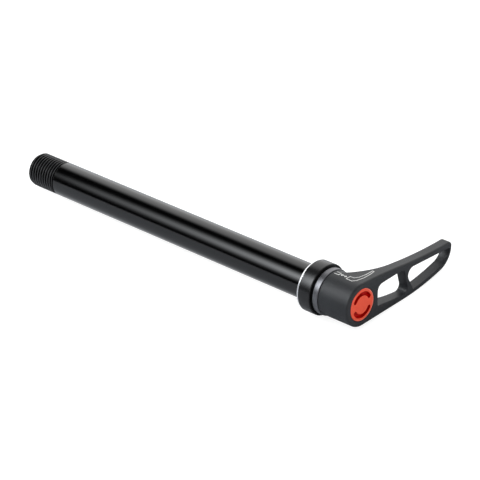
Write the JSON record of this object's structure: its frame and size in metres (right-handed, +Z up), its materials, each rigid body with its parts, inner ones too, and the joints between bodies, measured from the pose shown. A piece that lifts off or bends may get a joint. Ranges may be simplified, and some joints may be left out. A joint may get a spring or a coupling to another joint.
{
  "type": "bicycle thru axle",
  "caption": "Hollow bicycle thru axle with a screwed end, a free-turning clamping collar and a windowed lever that lifts off its teeth to be set to a new angle.",
  "frame": {"origin": "on the axle's axis, in the plane of the collar's bearing face", "axes": "+X along the axle from the threaded tip towards the lever, +Y towards the lever's tip, +Z up"},
  "size_m": [0.1879, 0.068, 0.023],
  "materials": {
    "black_anodised": "glossy black anodised, turned",
    "black_anodised_collar": "glossy black anodised with a bright cut bevel",
    "ring_rubber": "matte black",
    "washer_polymer": "satin black",
    "red_anodised": "red anodised",
    "spring_steel": "drawn wire",
    "blasted_grey": "bead-blasted dark grey anodised"
  },
  "bodies": {
    "axle": {"axle_shaft": "black_anodised", "cap_screw": "red_anodised"},
    "collar": {"clamp_collar": "black_anodised_collar", "thrust_washer": "washer_polymer", "grip_o_ring": "ring_rubber"},
    "spring": {"lever_spring": "spring_steel"},
    "lever": {"lever": "blasted_grey"}
  },
  "joints": [
    {"name": "collar_spin", "type": "hinge", "parent": "axle", "child": "collar", "pos_m": [0.0034, 0, 0], "axis": [1, 0, 0], "continuous": true},
    {"name": "lever_index", "type": "hinge", "parent": "axle", "child": "spring", "pos_m": [0.0195, 0, 0], "axis": [1, 0, 0], "continuous": true},
    {"name": "lever_lift", "type": "slide", "parent": "spring", "child": "lever", "axis": [1, 0, 0], "range_m": [0, 0.004], "stiffness_N_per_m": 3000, "springref_m": -0.004, "deforming": ["lever_spring"]}
  ]
}
